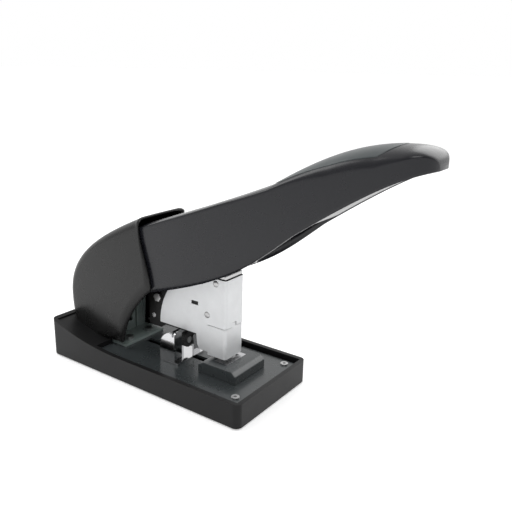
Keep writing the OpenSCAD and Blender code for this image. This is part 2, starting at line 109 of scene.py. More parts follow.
def resampled(line: np.ndarray, count: int) -> np.ndarray:
    """Spaces a line's points evenly.

    Args:
        line: X and Z of each point.
        count: how many points the new line has.

    Returns:
        The same line with count points.
    """
    gaps = np.linalg.norm(np.diff(line, axis=0), axis=1)
    along = np.concatenate([[0.0], np.cumsum(gaps)])
    at = np.linspace(0, along[-1], count)
    return np.stack([np.interp(at, along, line[:, k]) for k in (0, 1)], axis=1)


def grid_faces(rows: int, width: int) -> list[tuple[int, ...]]:
    """Four-sided faces between points laid out in rows.

    Args:
        rows: how many rows there are.
        width: how many points each row has.

    Returns:
        The faces, row by row.
    """
    return [(i * width + j, i * width + j + 1, (i + 1) * width + j + 1, (i + 1) * width + j)
            for i in range(rows - 1) for j in range(width - 1)]


# ---- Shared shader groups ----

GRAIN_LAYERS = (("Height", 1.0, 3.0), ("Cloud", 0.04, 4.0))  # output, share of the fineness, detail
WORN_FROM, WORN_TO = 0.52, 0.62  # how pointed an edge is where wear starts, and where it is full
WEAR_SCALE = 260.0
DUST_SCALE = 90.0
DUST_DETAIL = 6.0


class Socket(Enum):
    """Socket types of the shader and geometry groups."""

    VALUE = "NodeSocketFloat"
    VECTOR = "NodeSocketVector"
    WHOLE = "NodeSocketInt"
    SHAPE = "NodeSocketGeometry"
    MATERIAL = "NodeSocketMaterial"


def new_group(name: str, kind: str, inputs: Sequence[tuple[str, Socket]],
              outputs: Sequence[tuple[str, Socket]]) -> bpy.types.NodeTree:
    """An empty node group with named sockets.

    Args:
        name: the group's name.
        kind: "ShaderNodeTree" or "GeometryNodeTree".
        inputs: name and type of each input.
        outputs: name and type of each output.

    Returns:
        The group, with its input and output nodes called "in" and "out".
    """
    tree = bpy.data.node_groups.new(name, kind)
    for label, sort in inputs:
        tree.interface.new_socket(name=label, in_out="INPUT", socket_type=sort.value)
    for label, sort in outputs:
        tree.interface.new_socket(name=label, in_out="OUTPUT", socket_type=sort.value)
    tree.nodes.new("NodeGroupInput").name = "in"
    tree.nodes.new("NodeGroupOutput").name = "out"
    return tree


def math_node(tree: bpy.types.NodeTree, what: str, a: object,
              b: object) -> bpy.types.NodeSocket:
    """Adds a maths node.

    Args:
        tree: the tree that gets the node.
        what: the node's operation.
        a: first operand, a socket or a number.
        b: second operand, a socket or a number.

    Returns:
        The node's output.
    """
    node = tree.nodes.new("ShaderNodeMath")
    node.operation = what
    for slot, value in zip(node.inputs, (a, b)):
        if isinstance(value, (int, float)):
            slot.default_value = value
        else:
            tree.links.new(value, slot)
    return node.outputs[0]


def build_grain_group() -> bpy.types.NodeTree:
    """Moulded or drawn surface grain.

    Returns:
        A group that gives a fine height and a slow cloud.
    """
    tree = new_group("surface_grain", "ShaderNodeTree",
                     [("Place", Socket.VECTOR), ("Fineness", Socket.VALUE)],
                     [("Height", Socket.VALUE), ("Cloud", Socket.VALUE)])
    src, out = tree.nodes["in"], tree.nodes["out"]
    for label, factor, detail in GRAIN_LAYERS:
        noise = tree.nodes.new("ShaderNodeTexNoise")
        noise.inputs["Detail"].default_value = detail
        tree.links.new(src.outputs["Place"], noise.inputs["Vector"])
        tree.links.new(math_node(tree, "MULTIPLY", src.outputs["Fineness"], factor),
                       noise.inputs["Scale"])
        tree.links.new(noise.outputs[0], out.inputs[label])
    return tree


def build_wear_group() -> bpy.types.NodeTree:
    """Edge wear.

    Returns:
        A group that gives a mask of the outer edges, broken up by noise.
    """
    tree = new_group("edge_wear", "ShaderNodeTree",
                     [("Place", Socket.VECTOR), ("Amount", Socket.VALUE)],
                     [("Mask", Socket.VALUE)])
    src, out = tree.nodes["in"], tree.nodes["out"]
    shape = tree.nodes.new("ShaderNodeNewGeometry")
    edge = tree.nodes.new("ShaderNodeMapRange")
    edge.inputs["From Min"].default_value = WORN_FROM
    edge.inputs["From Max"].default_value = WORN_TO
    tree.links.new(shape.outputs["Pointiness"], edge.inputs["Value"])
    noise = tree.nodes.new("ShaderNodeTexNoise")
    noise.inputs["Scale"].default_value = WEAR_SCALE
    tree.links.new(src.outputs["Place"], noise.inputs["Vector"])
    broken = math_node(tree, "MULTIPLY", edge.outputs[0], noise.outputs[0])
    tree.links.new(math_node(tree, "MULTIPLY", broken, src.outputs["Amount"]), out.inputs["Mask"])
    return tree


def build_dust_group() -> bpy.types.NodeTree:
    """Dust.

    Returns:
        A group that gives a patchy mask on what faces up.
    """
    tree = new_group("dust", "ShaderNodeTree",
                     [("Place", Socket.VECTOR), ("Amount", Socket.VALUE)],
                     [("Mask", Socket.VALUE)])
    src, out = tree.nodes["in"], tree.nodes["out"]
    shape = tree.nodes.new("ShaderNodeNewGeometry")
    split = tree.nodes.new("ShaderNodeSeparateXYZ")
    tree.links.new(shape.outputs["Normal"], split.inputs[0])
    noise = tree.nodes.new("ShaderNodeTexNoise")
    noise.inputs["Scale"].default_value = DUST_SCALE
    noise.inputs["Detail"].default_value = DUST_DETAIL
    tree.links.new(src.outputs["Place"], noise.inputs["Vector"])
    up = math_node(tree, "MAXIMUM", split.outputs["Z"], 0.0)
    patchy = math_node(tree, "MULTIPLY", up, noise.outputs[0])
    tree.links.new(math_node(tree, "MULTIPLY", patchy, src.outputs["Amount"]), out.inputs["Mask"])
    return tree


# ---- Finishes ----

COAT_ROUGHNESS = 0.12
LEAST_ROUGHNESS = 0.02
GRAIN_DEPTH = 0.0001
CLOUD_DARKENING = 0.82
WORN_GAIN, WORN_LIFT = 1.6, 0.08  # a worn edge is this much brighter, and lighter by this
DUST_COLOUR = (0.42, 0.41, 0.39, 1)
MIX_A, MIX_B, MIX_OUT = 6, 7, 2  # the colour sockets of a mix node


@dataclass(frozen=True)
class Finish:
    """One finish: what its surface is made of and how worn it is."""

    slot: str
    colour: tuple[float, float, float]
    roughness: float
    metallic: float = 0.0
    coat: float = 0.0
    specular: float = 0.5
    fineness: float = 1900.0
    relief: float = 0.03
    mottle: float = 0.08
    wear: float = 0.05
    dust: float = 0.006
    stretch: tuple[float, float, float] = (1.0, 1.0, 1.0)

    def build(self, groups: dict[str, bpy.types.NodeTree]) -> bpy.types.Material:
        """Makes the material.

        Args:
            groups: the shared shader groups by name.

        Returns:
            The material, named after its slot.
        """
        mat = bpy.data.materials.new("finish_" + self.slot)
        mat.use_nodes = True
        tree = mat.node_tree
        shader = tree.nodes["Principled BSDF"]
        shader.inputs["Metallic"].default_value = self.metallic
        shader.inputs["Coat Weight"].default_value = self.coat
        shader.inputs["Coat Roughness"].default_value = COAT_ROUGHNESS
        shader.inputs["Specular IOR Level"].default_value = self.specular
        place = tree.nodes.new("ShaderNodeTexCoord").outputs["Object"]
        turned = tree.nodes.new("ShaderNodeMapping")
        turned.inputs["Scale"].default_value = self.stretch
        tree.links.new(place, turned.inputs["Vector"])
        made = {}
        for name, key, value in (("surface_grain", "Fineness", self.fineness),
                                 ("edge_wear", "Amount", self.wear), ("dust", "Amount", self.dust)):
            node = tree.nodes.new("ShaderNodeGroup")
            node.node_tree = groups[name]
            node.inputs[key].default_value = value
            tree.links.new(turned.outputs[0] if name == "surface_grain" else place,
                           node.inputs["Place"])
            made[name] = node
        cloud = made["surface_grain"].outputs["Cloud"]
        ramp = tree.nodes.new("ShaderNodeMapRange")
        least = max(LEAST_ROUGHNESS, self.roughness - self.mottle)
        ramp.inputs["To Min"].default_value = least
        ramp.inputs["To Max"].default_value = min(1.0, self.roughness + self.mottle)
        tree.links.new(cloud, ramp.inputs["Value"])
        tree.links.new(ramp.outputs[0], shader.inputs["Roughness"])
        self.paint(tree, shader, cloud, made)
        bump = tree.nodes.new("ShaderNodeBump")
        bump.inputs["Strength"].default_value = self.relief
        bump.inputs["Distance"].default_value = GRAIN_DEPTH
        tree.links.new(made["surface_grain"].outputs["Height"], bump.inputs["Height"])
        tree.links.new(bump.outputs[0], shader.inputs["Normal"])
        return mat

    def paint(self, tree: bpy.types.NodeTree, shader: bpy.types.Node,
              cloud: bpy.types.NodeSocket, made: dict[str, bpy.types.Node]) -> None:
        """Mixes the base colour from slow variation, then worn edges, then dust.

        Args:
            tree: the material's tree.
            shader: its main shader.
            cloud: the slow cloud of the surface grain.
            made: the shared groups' nodes by name.
        """
        darker = (*[c * CLOUD_DARKENING for c in self.colour], 1)
        worn = (*[min(1.0, c * WORN_GAIN + WORN_LIFT) for c in self.colour], 1)
        layers = ((cloud, darker, (*self.colour, 1)),
                  (made["edge_wear"].outputs["Mask"], None, worn),
                  (made["dust"].outputs["Mask"], None, DUST_COLOUR))
        last = None
        for mask, first, second in layers:
            mix = tree.nodes.new("ShaderNodeMix")
            mix.data_type = "RGBA"
            mix.inputs[MIX_B].default_value = second
            if first is not None:
                mix.inputs[MIX_A].default_value = first
            else:
                tree.links.new(last, mix.inputs[MIX_A])
            tree.links.new(mask, mix.inputs[0])
            last = mix.outputs[MIX_OUT]
        tree.links.new(last, shader.inputs["Base Color"])


FINISHES = (
    Finish("base_plastic", (0.0080, 0.0080, 0.0085), 0.36, specular=0.20),
    Finish("bottom_paint", (0.03, 0.03, 0.033), 0.55),
    Finish("rubber", (0.015, 0.015, 0.015), 0.85, relief=0.2),
    Finish("zinc_steel", (0.50, 0.50, 0.50), 0.32, metallic=1.0, wear=0.2, fineness=3000),
    Finish("deck_paint", (0.036, 0.042, 0.044), 0.28, coat=0.20, wear=0.05, mottle=0.06),
    Finish("bright_steel", (0.56, 0.56, 0.57), 0.26, metallic=1.0, stretch=(1, 12, 1),
           relief=0.05),
    Finish("bracket_paint", (0.21, 0.255, 0.245), 0.35, coat=0.25, wear=0.1),
    Finish("hood_plastic", (0.0115, 0.0115, 0.0115), 0.28, specular=0.31, relief=0.006,
           wear=0.0, dust=0.0),
    Finish("black_steel", (0.006, 0.006, 0.006), 0.40, specular=0.25, wear=0.1),
    Finish("silver_paint", (0.70, 0.71, 0.72), 0.36, metallic=0.45, fineness=2600, relief=0.015),
    Finish("spring_wire", (0.5, 0.5, 0.5), 0.25, metallic=1.0),
    Finish("staple_wire", (0.6, 0.6, 0.62), 0.28, metallic=1.0),
    Finish("black_moulding", (0.012, 0.012, 0.012), 0.42),
    Finish("handle_plastic", (0.0085, 0.0088, 0.0115), 0.26, specular=0.38, relief=0.006,
           wear=0.0, dust=0.0),
    Finish("grip_plastic", (0.046, 0.056, 0.058), 0.36, fineness=2400, relief=0.08),
    Finish("chrome", (0.72, 0.72, 0.73), 0.10, metallic=1.0, mottle=0.03, relief=0.01),
)


# ---- Pieces ----

SKIN_MERGE = 1e-6  # points nearer than this are one, in a skin made here
CAD_MERGE = 2e-6  # the same, in a CAD node's mesh
SHAPED_MERGE = 2e-5  # the same, after a shape has moved the points
FLAT_ANGLE = math.radians(0.4)  # faces that turn less than this become one
SHARP_ANGLE = math.radians(40)  # edges that turn more than this are broken
FACE_WEIGHT = 100
SORT_PLACES = 5


def add_wall(obj: bpy.types.Object, thick: float) -> None:
    """Gives an open skin a wall that grows inwards.

    Args:
        obj: the skin.
        thick: the wall's thickness, in millimetres.
    """
    wall = obj.modifiers.new("wall", "SOLIDIFY")
    wall.thickness = thick * MM
    wall.offset = -1


@dataclass
class Workshop:
    """Turns meshes into finished pieces on their bodies."""

    materials: dict[str, bpy.types.Material] = field(default_factory=dict)
    body_of: dict[str, str] = field(default_factory=dict)
    slot_of: dict[str, str] = field(default_factory=dict)

    def set_up(self) -> None:
        """Builds the materials and reads which body and slot each node has."""
        groups = {"surface_grain": build_grain_group(), "edge_wear": build_wear_group(),
                  "dust": build_dust_group()}
        for finish in FINISHES:
            self.materials[finish.slot] = finish.build(groups)
        record = frame["record"]
        self.body_of = {n: b for b, ns in record["behaviour"]["bodies"].items() for n in ns}
        self.slot_of = {s["node"]: s["material_slot"] for s in record["subparts"]}

    def dress(self, obj: bpy.types.Object, slot: str) -> None:
        """Gives an object one finish all over."""
        obj.data.materials.clear()
        obj.data.materials.append(self.materials[slot])

    def piece(self, obj: bpy.types.Object, *nodes: str) -> bpy.types.Object:
        """Finishes a new piece that stands for CAD nodes.

        Args:
            obj: the piece, in place.
            nodes: the nodes that it replaces; the first gives body and finish.

        Returns:
            The piece.
        """
        self.dress(obj, self.slot_of[nodes[0]])
        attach(obj, self.body_of[nodes[0]])
        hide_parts(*nodes)
        LOG.info("piece %s stands for %s", obj.name, ", ".join(nodes))
        return obj

    def from_data(self, name: str, points: Sequence[Sequence[float]],
                  faces: Sequence[Sequence[int]]) -> bpy.types.Object:
        """Makes a smooth mesh object with its normals outward.

        Args:
            name: the new object's name.
            points: its points, in metres.
            faces: the point numbers of each face.

        Returns:
            The object, in the scene.
        """
        mesh = bpy.data.meshes.new(name)
        mesh.from_pydata([tuple(p) for p in points], [], [tuple(f) for f in faces])
        work = bmesh.new()
        work.from_mesh(mesh)
        bmesh.ops.remove_doubles(work, verts=work.verts, dist=SKIN_MERGE)
        bmesh.ops.recalc_face_normals(work, faces=work.faces)
        work.to_mesh(mesh)
        work.free()
        mesh.shade_smooth()
        obj = bpy.data.objects.new(name, mesh)
        bpy.context.scene.collection.objects.link(obj)
        return obj

    def softened(self, node: str, edge: float, segments: int = 2,
                 shape: Callable[[Vector], None] | None = None) -> bpy.types.Object:
        """A copy of a CAD node with its sharp edges broken.

        Args:
            node: the CAD node.
            edge: width of the broken edge, in millimetres.
            segments: facets across it.
            shape: moves a point before its edges are broken, if given.

        Returns:
            The finished piece.
        """
        obj = bpy.data.objects.new(node + "_shell", frame["nodes"][node].data.copy())
        bpy.context.scene.collection.objects.link(obj)
        work = bmesh.new()
        work.from_mesh(obj.data)
        bmesh.ops.remove_doubles(work, verts=work.verts, dist=CAD_MERGE)
        if shape is not None:
            for vert in work.verts:
                shape(vert.co)
            bmesh.ops.remove_doubles(work, verts=work.verts, dist=SHAPED_MERGE)
        bmesh.ops.dissolve_limit(work, angle_limit=FLAT_ANGLE, verts=work.verts,
                                 edges=work.edges)
        work.to_mesh(obj.data)
        work.free()
        obj.data.shade_smooth()
        rounding = obj.modifiers.new("broken_edges", "BEVEL")
        rounding.width = edge * MM
        rounding.segments = segments
        rounding.limit_method = "ANGLE"
        rounding.angle_limit = SHARP_ANGLE
        weighted = obj.modifiers.new("flat_faces", "WEIGHTED_NORMAL")
        weighted.weight = FACE_WEIGHT
        weighted.keep_sharp = True
        return self.piece(obj, node)


def baked(obj: bpy.types.Object) -> bpy.types.Object:
    """Turns an object's modifiers into a plain mesh.

    Args:
        obj: the object.

    Returns:
        The same object, without modifiers.
    """
    bpy.context.view_layer.update()
    graph = bpy.context.evaluated_depsgraph_get()
    mesh = bpy.data.meshes.new_from_object(obj.evaluated_get(graph))
    obj.modifiers.clear()
    obj.data = mesh
    return obj


# ---- Geometry Nodes ----

COIL_STEPS = 28  # steps in one turn of a spring
WIRE_SIDES = 10
FLAT_SHARE = 0.9  # a staple's size along the row, as a share of its wire
DOME_SEGMENTS, DOME_RINGS = 24, 12


def grow(name: str, tree: bpy.types.NodeTree, values: dict[str, object],
         start: bpy.types.Mesh | None = None) -> bpy.types.Object:
    """Runs a geometry tree once and keeps its mesh.

    Args:
        name: the new object's name.
        tree: the geometry tree.
        values: input name to value.
        start: mesh that goes into the tree, if it needs one.

    Returns:
        A plain mesh object.
    """
    obj = bpy.data.objects.new(name, start or bpy.data.meshes.new(name))
    bpy.context.scene.collection.objects.link(obj)
    modifier = obj.modifiers.new("grow", "NODES")
    modifier.node_group = tree
    for item in tree.interface.items_tree:
        if item.in_out == "INPUT" and item.name in values:
            modifier[item.identifier] = values[item.name]
    return baked(obj)


def end_tree(tree: bpy.types.NodeTree, shape: bpy.types.NodeSocket) -> None:
    """Closes a tree with Realize Instances and Set Material.

    Args:
        tree: the geometry tree.
        shape: the output that holds its shape.
    """
    real = tree.nodes.new("GeometryNodeRealizeInstances")
    paint = tree.nodes.new("GeometryNodeSetMaterial")
    tree.links.new(shape, real.inputs[0])
    tree.links.new(real.outputs[0], paint.inputs["Geometry"])
    tree.links.new(tree.nodes["in"].outputs["Material"], paint.inputs["Material"])
    tree.links.new(paint.outputs[0], tree.nodes["out"].inputs[0])


def build_spring_tree() -> bpy.types.NodeTree:
    """A wound spring along Z.

    Returns:
        A tree that takes radius, wire, length and turns.
    """
    tree = new_group("wound_spring", "GeometryNodeTree",
                     [("Shape", Socket.SHAPE), ("Radius", Socket.VALUE), ("Wire", Socket.VALUE),
                      ("Length", Socket.VALUE), ("Turns", Socket.VALUE),
                      ("Material", Socket.MATERIAL)], [("Shape", Socket.SHAPE)])
    src = tree.nodes["in"]
    spiral = tree.nodes.new("GeometryNodeCurveSpiral")
    spiral.inputs["Resolution"].default_value = COIL_STEPS
    for socket, label in (("Start Radius", "Radius"), ("End Radius", "Radius"),
                          ("Height", "Length"), ("Rotations", "Turns")):
        tree.links.new(src.outputs[label], spiral.inputs[socket])
    ring = tree.nodes.new("GeometryNodeCurvePrimitiveCircle")
    ring.inputs["Resolution"].default_value = WIRE_SIDES
    tree.links.new(src.outputs["Wire"], ring.inputs["Radius"])
    tube = tree.nodes.new("GeometryNodeCurveToMesh")
    tree.links.new(spiral.outputs[0], tube.inputs["Curve"])
    tree.links.new(ring.outputs[0], tube.inputs["Profile Curve"])
    tube.inputs["Fill Caps"].default_value = True
    end_tree(tree, tube.outputs[0])
    return tree


def build_staple_tree() -> bpy.types.NodeTree:
    """A row of staples along X, each a crown and two legs.

    Returns:
        A tree that takes count, pitch, wire, width and leg.
    """
    tree = new_group("staple_row", "GeometryNodeTree",
                     [("Shape", Socket.SHAPE), ("Count", Socket.WHOLE), ("Pitch", Socket.VECTOR),
                      ("Wire", Socket.VALUE), ("Width", Socket.VALUE), ("Leg", Socket.VALUE),
                      ("Material", Socket.MATERIAL)], [("Shape", Socket.SHAPE)])
    src = tree.nodes["in"]
    bars = tree.nodes.new("GeometryNodeJoinGeometry")
    half_width = math_node(tree, "MULTIPLY", math_node(tree, "SUBTRACT", src.outputs["Width"],
                                                       src.outputs["Wire"]), 0.5)
    for side in (-1, 0, 1):
        cube = tree.nodes.new("GeometryNodeMeshCube")
        size = tree.nodes.new("ShaderNodeCombineXYZ")
        along = math_node(tree, "MULTIPLY", src.outputs["Wire"], FLAT_SHARE)
        tree.links.new(along, size.inputs["X"])
        tree.links.new(src.outputs["Wire" if side else "Width"], size.inputs["Y"])
        tree.links.new(src.outputs["Leg" if side else "Wire"], size.inputs["Z"])
        tree.links.new(size.outputs[0], cube.inputs["Size"])
        move = tree.nodes.new("GeometryNodeTransform")
        shift = tree.nodes.new("ShaderNodeCombineXYZ")
        tree.links.new(math_node(tree, "MULTIPLY", half_width, float(side)), shift.inputs["Y"])
        drop = math_node(tree, "MULTIPLY", src.outputs["Leg" if side else "Wire"], -0.5)
        tree.links.new(drop, shift.inputs["Z"])
        tree.links.new(shift.outputs[0], move.inputs["Translation"])
        tree.links.new(cube.outputs[0], move.inputs["Geometry"])
        tree.links.new(move.outputs[0], bars.inputs[0])
    line = tree.nodes.new("GeometryNodeMeshLine")
    tree.links.new(src.outputs["Count"], line.inputs["Count"])
    tree.links.new(src.outputs["Pitch"], line.inputs["Offset"])
    spread = tree.nodes.new("GeometryNodeInstanceOnPoints")
    tree.links.new(line.outputs[0], spread.inputs["Points"])
    tree.links.new(bars.outputs[0], spread.inputs["Instance"])
    end_tree(tree, spread.outputs[0])
    return tree


def build_heads_tree() -> bpy.types.NodeTree:
    """Domed fastener heads on points.

    Returns:
        A tree that takes radius, height and turn.
    """
    tree = new_group("domed_heads", "GeometryNodeTree",
                     [("Shape", Socket.SHAPE), ("Radius", Socket.VALUE), ("Height", Socket.VALUE),
                      ("Turn", Socket.VECTOR), ("Material", Socket.MATERIAL)],
                     [("Shape", Socket.SHAPE)])
    src = tree.nodes["in"]
    ball = tree.nodes.new("GeometryNodeMeshUVSphere")
    ball.inputs["Segments"].default_value = DOME_SEGMENTS
    ball.inputs["Rings"].default_value = DOME_RINGS
    ball.inputs["Radius"].default_value = 1.0
    size = tree.nodes.new("ShaderNodeCombineXYZ")
    for axis, label in (("X", "Radius"), ("Y", "Radius"), ("Z", "Height")):
        tree.links.new(src.outputs[label], size.inputs[axis])
    flat = tree.nodes.new("GeometryNodeTransform")
    tree.links.new(ball.outputs[0], flat.inputs["Geometry"])
    tree.links.new(size.outputs[0], flat.inputs["Scale"])
    tree.links.new(src.outputs["Turn"], flat.inputs["Rotation"])
    spread = tree.nodes.new("GeometryNodeInstanceOnPoints")
    tree.links.new(src.outputs["Shape"], spread.inputs["Points"])
    tree.links.new(flat.outputs[0], spread.inputs["Instance"])
    end_tree(tree, spread.outputs[0])
    return tree


def build_rib_tree() -> bpy.types.NodeTree:
    """Grip ribs round an axis along Z.

    Returns:
        A tree that takes count, radius of the ring and size of a rib.
    """
    tree = new_group("grip_ribs", "GeometryNodeTree",
                     [("Shape", Socket.SHAPE), ("Count", Socket.WHOLE), ("Radius", Socket.VALUE),
                      ("Rib", Socket.VECTOR), ("Material", Socket.MATERIAL)],
                     [("Shape", Socket.SHAPE)])
    src = tree.nodes["in"]
    ring = tree.nodes.new("GeometryNodeMeshCircle")
    tree.links.new(src.outputs["Count"], ring.inputs["Vertices"])
    tree.links.new(src.outputs["Radius"], ring.inputs["Radius"])
    rib = tree.nodes.new("GeometryNodeMeshCube")
    tree.links.new(src.outputs["Rib"], rib.inputs["Size"])
    facing = tree.nodes.new("FunctionNodeAlignRotationToVector")
    facing.axis = "X"
    tree.links.new(tree.nodes.new("GeometryNodeInputPosition").outputs[0], facing.inputs["Vector"])
    spread = tree.nodes.new("GeometryNodeInstanceOnPoints")
    tree.links.new(ring.outputs[0], spread.inputs["Points"])
    tree.links.new(rib.outputs[0], spread.inputs["Instance"])
    tree.links.new(facing.outputs[0], spread.inputs["Rotation"])
    end_tree(tree, spread.outputs[0])
    return tree


def solids_of(node: str) -> list[tuple[Vector, Vector]]:
    """Finds the separate solids in a CAD node.

    Args:
        node: the CAD node.

    Returns:
        Lowest and highest corner of each solid.
    """
    work = bmesh.new()
    work.from_mesh(frame["nodes"][node].data)
    bmesh.ops.remove_doubles(work, verts=work.verts, dist=CAD_MERGE)
    left, boxes = set(work.verts), []
    while left:
        stack, island = [left.pop()], []
        while stack:
            vert = stack.pop()
            island.append(vert.co.copy())
            near = {e.other_vert(vert) for e in vert.link_edges} & left
            left -= near
            stack.extend(near)
        boxes.append((Vector([min(c[i] for c in island) for i in range(3)]),
                      Vector([max(c[i] for c in island) for i in range(3)])))
    work.free()
    return sorted(boxes, key=lambda b: tuple(round(v, SORT_PLACES) for v in b[0]))


def moved(obj: bpy.types.Object, place: Callable[[np.ndarray], np.ndarray]) -> bpy.types.Object:
    """Moves a mesh's own points, so that its object stays at the origin.

    Args:
        obj: the object.
        place: gives the new points from the old ones.

    Returns:
        The same object.
    """
    co = np.zeros(len(obj.data.vertices) * 3, np.float32)
    obj.data.vertices.foreach_get("co", co)
    obj.data.vertices.foreach_set("co", place(co.reshape(-1, 3)).astype(np.float32).ravel())
    obj.data.update()
    return obj


# ---- Sub-assemblies ----

@dataclass
class Base:
    """Tray, deck, anvil and bracket."""

    tray_edge: float = 1.1
    tray_facets: int = 3
    deck_edge: float = 0.5
    bracket_edge: float = 0.3

    def build(self, shop: Workshop) -> None:
        """Breaks the edges of everything that shows on the base.

        Args:
            shop: where pieces are finished.
        """
        shop.softened("base_tray", self.tray_edge, self.tray_facets)
        shop.softened("deck_plate", self.deck_edge)
        shop.softened("anvil_block", self.deck_edge)
        shop.softened("pivot_bracket", self.bracket_edge)


@dataclass
class Hood:
    """Rear hood: a curved roof with rounded edges and two flat sides."""

    half_width: float = 26.5
    edge_r: float = 7.0
    wall: float = 1.8
    crown: float = 0.3
    side_room: float = 2.2
    least_room: float = 0.5
    rows: int = 72
    roof_steps: int = 8
    corner_steps: int = 10
    side_steps: int = 8
    roof: tuple = (((-92.5, 20), (-94, 30), (-96, 40), (-96, 50)),
                   ((-96, 50), (-97, 84), (-66, 105), (-12, 129)))
    front: tuple = (((-86, 20), (-70, 20), (-50, 22.5), (-31.5, 22.5)),
                    ((-31.5, 22.5), (-28, 46), (-14, 61), (0, 74.5)),
                    ((0, 74.5), (-1, 92), (-11, 108), (-11, 123)))

    def section(self, at: np.ndarray, normal: np.ndarray, foot: np.ndarray) -> list:
        """One rib of the hood, from one side's front edge over the roof to the other's.

        Args:
            at: X and Z of the roof's middle line, in millimetres.
            normal: the roof's outward direction there.
            foot: X and Z of the side's front edge, in millimetres.

        Returns:
            The rib's points in metres.
        """
        flat = self.half_width - self.edge_r
        room = float(np.dot(at - foot, normal)) - self.side_room
        squash = min(1.0, max(room, self.least_room) / (self.crown + self.edge_r))
        drop, edge = self.crown * squash, self.edge_r * squash
        half = [(y, drop * (y / flat) ** 2) for y in np.linspace(0, flat, self.roof_steps)]
        half += [(flat + self.edge_r * math.sin(a), drop + edge * (1 - math.cos(a)))
                 for a in np.linspace(0, math.pi / 2, self.corner_steps)[1:]]
        rib = [(at[0] - normal[0] * d, y, at[1] - normal[1] * d) for y, d in half]
        last = rib[-1]
        rib += [(last[0] + (foot[0] - last[0]) * k, self.half_width,
                 last[2] + (foot[1] - last[2]) * k)
                for k in np.linspace(0, 1, self.side_steps)[1:]]
        mirrored = [(x, -y, z) for x, y, z in reversed(rib[1:])]
        return [(x * MM, y * MM, z * MM) for x, y, z in mirrored + rib]

    def build(self, shop: Workshop) -> None:
        """Lofts the hood and gives it its wall.

        Args:
            shop: where pieces are finished.
        """
        roof = resampled(polyline(self.roof), self.rows)
        front = resampled(polyline(self.front), self.rows)
        along = np.gradient(roof, axis=0)
        along /= np.linalg.norm(along, axis=1)[:, None]
        normals = np.stack([-along[:, 1], along[:, 0]], axis=1)
        ribs = [self.section(roof[i], normals[i], front[i]) for i in range(self.rows)]
        faces = grid_faces(self.rows, len(ribs[0]))
        obj = shop.from_data("rear_hood_shell", [p for rib in ribs for p in rib], faces)
        add_wall(obj, self.wall)
        shop.piece(obj, "rear_hood")


